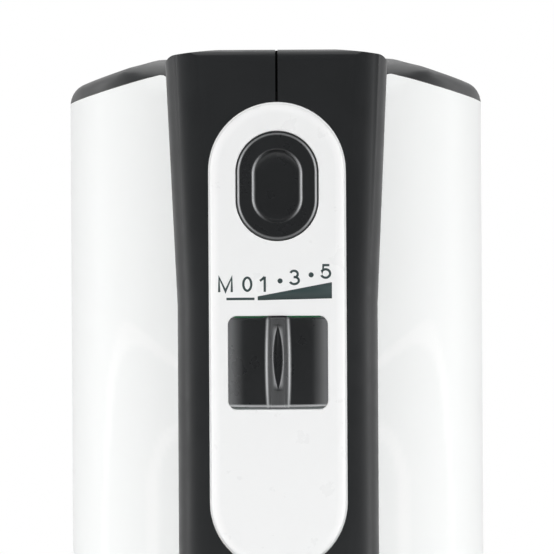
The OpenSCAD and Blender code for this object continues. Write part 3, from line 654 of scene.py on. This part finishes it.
class Lathe:
    """Collects rings of points, the quads between them and each point's painted highlight weight."""

    def __init__(self):
        self.points, self.faces, self.highlight_weights = [], [], []

    def ring(self, outline, y, highlight_weight=0.0, ends=HIGHLIGHT_ENDS):
        start = len(self.points)
        self.points += [(p[0], y, p[1]) for p in outline]
        sideways = np.abs(outline[:, 0]) / np.abs(outline[:, 0]).max()
        self.highlight_weights += list(highlight_weight * (ends + (1 - ends) * sideways ** 4))
        return start, len(outline)

    def loop(self, points):
        """Adds one ring of ready points."""
        start = len(self.points)
        self.points += points
        return start, len(points)

    def bridge(self, a, b):
        n = a[1]
        for i in range(n):
            j = (i + 1) % n
            self.faces.append((a[0] + i, a[0] + j, b[0] + j, b[0] + i))

    def join(self, rings):
        for a, b in zip(rings[:-1], rings[1:]):
            self.bridge(a, b)

    def stack(self, outline_of, profile):
        """Rings for (offset, y[, painted highlight[, its share at the ends]]) rows, joined; returns the first
        and last.
        """
        rings = [self.ring(outline_of(row[0]), *row[1:]) for row in profile]
        self.join(rings)
        return rings[0], rings[-1]


def fill_between(points, loops, faces):
    """Triangles of the flat face bounded by an outer loop and the holes in it."""
    shape = bmesh.new()
    index = {}
    edges = []
    for start, n in loops:
        verts = [shape.verts.new(Vector(points[start + i])) for i in range(n)]
        for i, v in enumerate(verts):
            index[v] = start + i
        edges += [shape.edges.new((verts[i], verts[(i + 1) % n])) for i in range(n)]
    result = bmesh.ops.triangle_fill(shape, use_beauty=True, use_dissolve=False, edges=edges)
    for g in result["geom"]:
        if isinstance(g, bmesh.types.BMFace):
            faces.append(tuple(index[v] for v in g.verts))
    shape.free()


def control_panel():
    """The white plate: a crowned pill with crisp openings for the button and the slider."""
    build = Lathe()
    top_y = panel_face

    def pill(d):
        return stadium(panel_r - d, panel_straight, panel_mid_z)

    def button_hole(d):
        return stadium(button_r + 0.3 + d, button_straight, button_z)

    def slider_hole(d):
        return rounded_box(window_half_x + d, window_half_z + d, window_round + d, slider_z)

    # the third number on a crown row is its painted highlight along the crowned edge
    crown = [(0.0, top_y + 6.1), (-1.2, top_y + 6.1), (-1.2, top_y + 4.9), (0.0, top_y + 4.7),
             (0.0, top_y + 1.5), (0.0, top_y + 0.95, 0.8), (0.06, top_y + 0.72, 1.0), (0.2, top_y + 0.5, 1.0),
             (0.45, top_y + 0.30, 1.0), (0.85, top_y + 0.14, 0.9), (1.4, top_y + 0.04, 0.5), (2.0, top_y),
             (2.2, top_y)]
    lip = [(0.0, top_y + 2.6), (0.0, top_y + 0.22), (0.04, top_y + 0.1), (0.12, top_y + 0.03),
           (0.24, top_y), (0.4, top_y)]
    flange = [(1.6, top_y + 6.1), (1.6, top_y + 2.6), (2.4, top_y + 2.6)]
    outer = build.stack(pill, crown)
    button_ring = build.stack(button_hole, lip)
    window_ring = build.stack(slider_hole, lip)
    fill_between(build.points, [outer[1], button_ring[1], window_ring[1]], build.faces)
    inner = build.stack(pill, flange)
    build.bridge(outer[0], inner[0])
    fill_between(build.points, [inner[1], button_ring[0], window_ring[0]], build.faces)
    obj = mesh_object("control_plate", build.points, build.faces, "white_panel", crease=48)
    tag_painted_highlight(obj, build.highlight_weights, build.points)
    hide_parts("control_panel")


def eject_button():
    """The oval button: a chamfered rim, a flat ring and a dished recess for the thumb."""
    build = Lathe()
    top_y = panel_face + 0.1

    def oval(d):
        return stadium(button_r - d, button_straight, button_z)

    def dish(d):
        return stadium(recess_r - d, recess_straight, button_z)

    # the third number on a rim or bowl row is its painted highlight on the rim's chamfer and the recess wall,
    # the fourth its share at the ends
    rim = [(0.0, top_y + 12.5), (0.0, top_y + 0.62), (0.03, top_y + 0.5), (0.10, top_y + 0.4, 0.3),
           (0.2, top_y + 0.26, 0.75), (0.34, top_y + 0.1, 0.75), (0.46, top_y + 0.03, 0.3), (0.6, top_y),
           (0.8, top_y)]
    bowl = [(-0.3, top_y), (-0.14, top_y + 0.01, 0.1, 0.0), (0.0, top_y + 0.07, 0.8, 0.0),
            (0.1, top_y + 0.2, 1.0, 0.0), (0.3, top_y + 0.75, 0.7, 0.0), (0.42, top_y + 1.05, 0.1, 0.0),
            (0.68, top_y + 1.32), (1.05, top_y + 1.46), (1.7, top_y + 1.55), (2.6, top_y + 1.6),
            (3.6, top_y + 1.62)]
    outer = build.stack(oval, rim)
    recess = build.stack(dish, bowl)
    build.bridge(outer[1], recess[0])
    fill_between(build.points, [recess[1]], build.faces)
    skirt = build.stack(oval, [(1.6, top_y + 12.5), (1.6, top_y + 3.2)])
    build.bridge(outer[0], skirt[0])
    fill_between(build.points, [skirt[1]], build.faces)
    obj = mesh_object("eject_cap", build.points, build.faces, "dark_control", body="ejector", crease=60)
    tag_painted_highlight(obj, build.highlight_weights, build.points)
    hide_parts("eject_button")


def speed_slider():
    """The drum under the window: a finger ridge with a lens-shaped groove along its top."""
    half_len = drum_half
    lens_z, lens_half, lens_wide = slider_z + 1.1, 6.6, 0.95
    ridge_high = 1.42
    edge = 0.45
    z_inner = np.concatenate([np.linspace(-half_len + edge, lens_z - slider_z - lens_half, 12)[:-1],
                              lens_z - slider_z + lens_half * np.sin(np.linspace(-math.pi / 2, math.pi / 2, 41)),
                              np.linspace(lens_z - slider_z + lens_half, half_len - edge, 8)[1:]])
    turn = np.linspace(0, math.pi / 2, 7)
    low_lip = [(-half_len + edge - edge * math.cos(a), -edge + edge * math.sin(a)) for a in turn[:-1]]
    high_lip = [(half_len - edge + edge * math.sin(a), -edge + edge * math.cos(a)) for a in turn[1:]]
    rows = [(-half_len, -2.0)] + low_lip + [(z, 0.0) for z in z_inner] + high_lip + [(half_len, -2.0)]
    points, faces, highlight_weights = [], [], []
    for z, drop in rows:
        height = z / half_len
        swell = 0.25 * max(0.0, 1 - (z / half_len) ** 2)
        u = (z + slider_z - lens_z) / lens_half
        w = lens_wide * max(0.0, 1 - u * u)
        depth = 1.25 * math.sqrt(max(0.0, w / lens_wide))
        base = 2.15 + swell
        top = 1.12 + 0.1 * swell
        flank = 1 - 0.45 * height * height
        lens_rim = 0.5 * min(1.0, w / 0.3) if abs(u) < 1 else 0.1
        # half a section as (distance round the drum, height over it, painted highlight), from the groove to the
        # drum
        half = [(0.0, ridge_high - depth, 0.0), (0.35 * w, ridge_high - 0.96 * depth, 0.0),
                (0.65 * w, ridge_high - 0.72 * depth, 0.0), (0.85 * w, ridge_high - 0.4 * depth, 0.03),
                (0.97 * w, ridge_high - 0.1 * depth, 0.6 * lens_rim), (w + 0.05, 1.44, lens_rim),
                (w + 0.13, 1.45, 0.8 * lens_rim), (top - 0.06, 1.44, 0.10), (top + 0.06, 1.38, 0.09),
                (top + 0.18, 1.2, 0.08), (top + 0.36, 0.85, 0.08), (base - 0.48, 0.42, 0.10),
                (base - 0.26, 0.15, 0.5 * flank), (base - 0.05, 0.03, 1.0 * flank),
                (base + 0.15, 0.0, 0.35 * flank), (base + 0.4, 0.0, 0.0)]
        # painted highlight on the drum, growing towards the window's left and right edges
        half += [(a, 0.0, 0.16 * float(np.clip((a - 6.8) / 3.2, 0, 1)) ** 2)
                 for a in np.linspace(3.4, math.radians(62) * drum_r, 30)]
        row = [(-s, h, b) for s, h, b in half[:0:-1]] + half
        # painted highlight line along the drum's lower end
        lip_line = max(0.0, 1 - abs(z + half_len - 0.36) / 0.32)
        for s, h, b in row:
            highlight_weights.append(max(b, 0.75 * lip_line))
            a, r = s / drum_r, drum_r + h + drop
            points.append((r * math.sin(a), drum_y - r * math.cos(a), slider_z + z))
    columns = len(row)
    faces = [tuple(reversed(f)) for f in grid_faces(len(rows), columns)]
    inner, inner_r = len(points), drum_r - 2.2
    for z in (-half_len, half_len):
        for s, h, b in row:
            a = s / drum_r
            highlight_weights.append(0.0)
            points.append((inner_r * math.sin(a), drum_y - inner_r * math.cos(a), slider_z + z))
    last = (len(rows) - 1) * columns
    for c in range(columns - 1):
        faces.append((c, c + 1, inner + c + 1, inner + c))
        faces.append((last + c + 1, last + c, inner + columns + c, inner + columns + c + 1))
        faces.append((inner + c, inner + c + 1, inner + columns + c + 1, inner + columns + c))
    for c in (0, columns - 1):
        side = [r * columns + c for r in range(len(rows))] + [inner + columns + c, inner + c]
        faces.append(tuple(side if c else reversed(side)))
    shell = mesh_object("slider_drum", points, faces, "dark_control", body="slider", crease=50)
    tag_painted_highlight(shell, highlight_weights, points)
    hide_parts("speed_slider")


def slider_webs():
    """The two end webs between the drum and its hub."""
    webs = Lathe()
    web_r, hub_r = 15.6, 3.0
    spread = np.radians(np.linspace(-58, 58, 40))
    back = np.radians(np.linspace(58, -58, 40))
    web = np.concatenate([np.stack([web_r * np.sin(spread), -web_r * np.cos(spread)], 1),
                          np.array([[hub_r * math.sin(a), -hub_r * math.cos(a)] for a in back])])
    for z0, z1 in ((-drum_half + 0.1, -drum_half + 1.8), (drum_half - 1.8, drum_half - 0.1)):
        rings = []
        for z, inset in ((z0, 0.2), (z0 + 0.2, 0), (z1 - 0.2, 0), (z1, 0.2)):
            scale = 1 - inset / web_r
            rings.append(webs.loop([(p[0] * scale, drum_y + p[1] * scale, slider_z + z) for p in web]))
        webs.join(rings)
        webs.faces.append(tuple(range(rings[0][0], rings[0][0] + len(web))))
        webs.faces.append(tuple(reversed(range(rings[-1][0], rings[-1][0] + len(web)))))
    shell = mesh_object("slider_webs", webs.points, webs.faces, "dark_control", body="slider", crease=40)
    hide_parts("speed_slider")


def slider_hub():
    """The hub the drum turns on, and the arm that drives the contact carriage."""
    hub = Lathe()
    around = np.linspace(0, 2 * math.pi, 49)[:-1]
    profile = [(0.01, -12.2), (1.7, -12.2), (2.0, -11.9), (2.0, -drum_half), (2.9, -drum_half),
               (3.2, -drum_half + 0.3), (3.2, drum_half - 0.3), (2.9, drum_half), (2.0, drum_half),
               (2.0, 11.9), (1.7, 12.2), (0.01, 12.2)]
    hub.join([hub.loop([(r * math.cos(a), drum_y + r * math.sin(a), slider_z + z) for a in around])
              for r, z in profile])
    arm = [(0.6, 2.0), (0.6, 5.3), (0.95, 5.7), (1.0, 6.0), (0.85, 6.5), (0.4, 6.92), (0, 7.0)]
    arm = arm + [(-x, y) for x, y in arm[-2::-1]]
    rings = [hub.loop([(x * scale, drum_y + y, slider_z + z) for x, y in arm])
             for z, scale in ((-2.0, 0.85), (-1.85, 1.0), (1.85, 1.0), (2.0, 0.85))]
    hub.join(rings)
    for ring in (rings[0], rings[-1]):
        hub.faces.append(tuple(range(ring[0], ring[0] + ring[1])))
    shell = mesh_object("slider_hub", hub.points, hub.faces, "dark_control", body="slider", crease=40)
    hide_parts("speed_slider")


control_panel()
eject_button()
speed_slider()
slider_webs()
slider_hub()

# ---------------------------------------------------------------- speed scale


def arc(cx, cy, rx, ry, start, end, steps=18):
    a = np.radians(np.linspace(start, end, steps))
    return [(cx + rx * math.cos(t), cy + ry * math.sin(t)) for t in a]


GLYPHS = {
    "M": [[(0, 0), (0, 1), (0.5, 0.06), (1, 1), (1, 0)]],
    "0": [arc(0.5, 0.5, 0.5, 0.5, 90, 450, 37)],
    "1": [[(0.05, 0.72), (0.45, 0.84), (0.78, 0.98)], [(0.8, 1.0), (0.8, 0.0)]],
    "3": [arc(0.46, 0.745, 0.42, 0.255, 160, -62, 16) + [(0.42, 0.52)],
          [(0.42, 0.53)] + arc(0.49, 0.268, 0.51, 0.268, 72, -160, 20)],
    "5": [[(0.92, 1.0), (0.2, 1.0), (0.06, 0.46)] + arc(0.46, 0.335, 0.54, 0.335, 142, -158, 24)],
}


def ribbon(path, width, closed):
    """Left and right borders of a stroke with mitred turns."""
    n = len(path)
    p = [Vector(v) for v in path]
    left, right = [], []
    for i in range(n):
        before = p[(i - 1) % n] if closed or i else p[i]
        after = p[(i + 1) % n] if closed or i < n - 1 else p[i]
        a = (p[i] - before).normalized() if p[i] != before else (after - p[i]).normalized()
        b = (after - p[i]).normalized() if after != p[i] else a
        across = Vector((-(a + b).y, (a + b).x))
        across = across.normalized() if across.length > 1e-6 else Vector((-a.y, a.x))
        reach = width / 2 / max(0.45, abs(across.dot(Vector((-a.y, a.x)))))
        left.append(p[i] + across * reach)
        right.append(p[i] - across * reach)
    return left, right


def speed_scale():
    """Marks printed above the slider: momentary, off, three speeds, two dots, a rule and a rising wedge."""
    y = panel_face - 0.012
    points, faces = [], []

    def sheet(outline):
        base = len(points)
        points.extend((x, y, slider_z + z) for x, z in outline)
        faces.append(tuple(range(base, base + len(outline))))

    for glyph, x0, x1, z0, z1 in SCALE_TEXT:
        for path in GLYPHS[glyph]:
            closed = glyph == "0"
            path = path[:-1] if closed else path
            placed = [(x0 + u * (x1 - x0), z0 + v * (z1 - z0)) for u, v in path]
            left, right = ribbon(placed, STROKE, closed)
            count = len(left)
            for i in range(count if closed else count - 1):
                j = (i + 1) % count
                sheet([tuple(right[i]), tuple(right[j]), tuple(left[j]), tuple(left[i])])
    for x, z in SCALE_DOTS:
        sheet([(x + DOT_R * math.cos(a), z + DOT_R * math.sin(a))
               for a in np.linspace(0, 2 * math.pi, 33)[:-1]])
    for shape in SCALE_SHAPES:
        sheet(shape)
    obj = mesh_object("speed_marks", points, faces, "printed_ink", crease=0, outward=False)
    thick = obj.modifiers.new("ink", "SOLIDIFY")
    thick.thickness = 0.01 * MM
    thick.offset = -1


STROKE, DOT_R = 0.48, 0.52
# each mark's character, left, right, bottom and top, from the middle of the slider
SCALE_TEXT = [
    ("M", -11.85, -9.3, 14.4, 17.35), ("0", -6.95, -5.35, 14.65, 17.3), ("1", -3.65, -2.35, 14.4, 17.5),
    ("3", 2.5, 4.3, 15.95, 18.65), ("5", 8.95, 10.65, 17.2, 19.75),
]
SCALE_DOTS = [(0.5, 16.6), (6.8, 17.8)]
SCALE_SHAPES = [
    [(-10.4, 12.75), (-4.7, 12.75), (-4.7, 13.25), (-10.4, 13.25)],
    [(-4.05, 12.7), (11.0, 13.0), (11.0, 16.3), (-4.05, 13.5)],
]
speed_scale()

# ---------------------------------------------------------------- light, floor and camera

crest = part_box("chassis_right")[0].y        # in metres
# brightness of what glossy surfaces see in front of the object, behind it and overhead, and of the dome
# that lights matt surfaces evenly
ROOM_FRONT, ROOM_BACK, ROOM_TOP, DOME = 0.06, 0.85, 2.2, 0.1


def studio_world():
    """A white backdrop for the camera, a room for glossy rays and a dim even dome for matt ones."""
    world = bpy.data.worlds.new("studio")
    bpy.context.scene.world = world
    world.use_nodes = True
    tree = world.node_tree
    coords = tree.nodes.new("ShaderNodeTexCoord")
    axes = tree.nodes.new("ShaderNodeSeparateXYZ")
    tree.links.new(coords.outputs["Generated"], axes.inputs["Vector"])
    fall = tree.nodes.new("ShaderNodeMapRange")
    fall.interpolation_type = "SMOOTHSTEP"
    fall.inputs["From Min"].default_value, fall.inputs["From Max"].default_value = -0.42, 0.1
    fall.inputs["To Min"].default_value, fall.inputs["To Max"].default_value = ROOM_FRONT, ROOM_BACK
    tree.links.new(axes.outputs["Y"], fall.inputs["Value"])
    lift = tree.nodes.new("ShaderNodeMapRange")
    lift.interpolation_type = "SMOOTHSTEP"
    lift.inputs["From Min"].default_value, lift.inputs["From Max"].default_value = 0.35, 0.8
    lift.inputs["To Min"].default_value, lift.inputs["To Max"].default_value = 1.0, ROOM_TOP
    tree.links.new(axes.outputs["Z"], lift.inputs["Value"])
    product = tree.nodes.new("ShaderNodeMath")
    product.operation = "MULTIPLY"
    tree.links.new(fall.outputs["Result"], product.inputs[0])
    tree.links.new(lift.outputs["Result"], product.inputs[1])
    shade = product.outputs["Value"]
    seen = tree.nodes.new("ShaderNodeBackground")
    seen.inputs["Color"].default_value = (1.0, 1.0, 1.0, 1.0)
    room = tree.nodes["Background"]
    tree.links.new(shade, room.inputs["Color"])
    path = tree.nodes.new("ShaderNodeLightPath")
    dome = tree.nodes.new("ShaderNodeBackground")
    dome.inputs["Color"].default_value = grey(DOME)
    matt = tree.nodes.new("ShaderNodeMixShader")
    tree.links.new(path.outputs["Is Diffuse Ray"], matt.inputs["Fac"])
    tree.links.new(room.outputs["Background"], matt.inputs[1])
    tree.links.new(dome.outputs["Background"], matt.inputs[2])
    mix = tree.nodes.new("ShaderNodeMixShader")
    tree.links.new(path.outputs["Is Camera Ray"], mix.inputs["Fac"])
    tree.links.new(matt.outputs["Shader"], mix.inputs[1])
    tree.links.new(seen.outputs["Background"], mix.inputs[2])
    tree.links.new(mix.outputs["Shader"], tree.nodes["World Output"].inputs["Surface"])


studio_world()

floor_mesh = bpy.data.meshes.new("floor")
shape = bmesh.new()
bmesh.ops.create_circle(shape, cap_ends=True, segments=96, radius=0.62)
shape.to_mesh(floor_mesh)
shape.free()
floor = bpy.data.objects.new("floor", floor_mesh)
bpy.context.scene.collection.objects.link(floor)
floor.location = (0.0, 0.0, -0.0002)
paint(floor, moulded("pale_floor", (0.86, 0.86, 0.86), 0.6, 0.04, 400.0, 0.02, 0.01))


def area_light(name, place, target, size, energy):
    data = bpy.data.lights.new(name, "AREA")
    data.shape = "RECTANGLE"
    data.size, data.size_y = size
    data.energy = energy
    light = bpy.data.objects.new(name, data)
    bpy.context.scene.collection.objects.link(light)
    light.location = place
    light.rotation_euler = (Vector(target) - Vector(place)).to_track_quat("-Z", "Y").to_euler()


def sun(name, azimuth, height, strength):
    """A soft directional fill without shadow or highlight; azimuth 0 shines from the grip's side."""
    data = bpy.data.lights.new(name, "SUN")
    data.energy = strength
    data.angle = math.radians(20)
    data.use_shadow = False
    light = bpy.data.objects.new(name, data)
    bpy.context.scene.collection.objects.link(light)
    az, el = math.radians(azimuth), math.radians(height)
    towards = Vector((math.sin(az) * math.cos(el), -math.cos(az) * math.cos(el), math.sin(el)))
    light.rotation_euler = towards.to_track_quat("Z", "Y").to_euler()
    light.visible_glossy = False


sun("front_fill", 0, 22, 1.82)
sun("left_fill", -75, 22, 1.22)
sun("right_fill", 75, 22, 1.22)
sun("back_fill", 180, 35, 1.2)
for side in (-1, 1):
    angle = math.radians(102 * side)
    area_light("strip_left" if side < 0 else "strip_right", (math.sin(angle), -0.1 - math.cos(angle), 0.25),
               (0, -0.1, 0.14), (0.13, 0.8), 1.3)

camera_data = bpy.data.cameras.new("camera")
camera = bpy.data.objects.new("camera", camera_data)
bpy.context.scene.collection.objects.link(camera)
camera_data.sensor_width = 36.0
camera_data.lens = 288.3
camera_data.clip_end = 20.0
camera.location = (-2.0 * MM, crest - 0.9, 151.6 * MM)
camera.rotation_euler = (math.radians(90), math.radians(0.33), math.radians(-0.12))
bpy.context.scene.camera = camera
bpy.context.scene.view_settings.view_transform = "Standard"
bpy.context.scene.view_settings.look = "None"
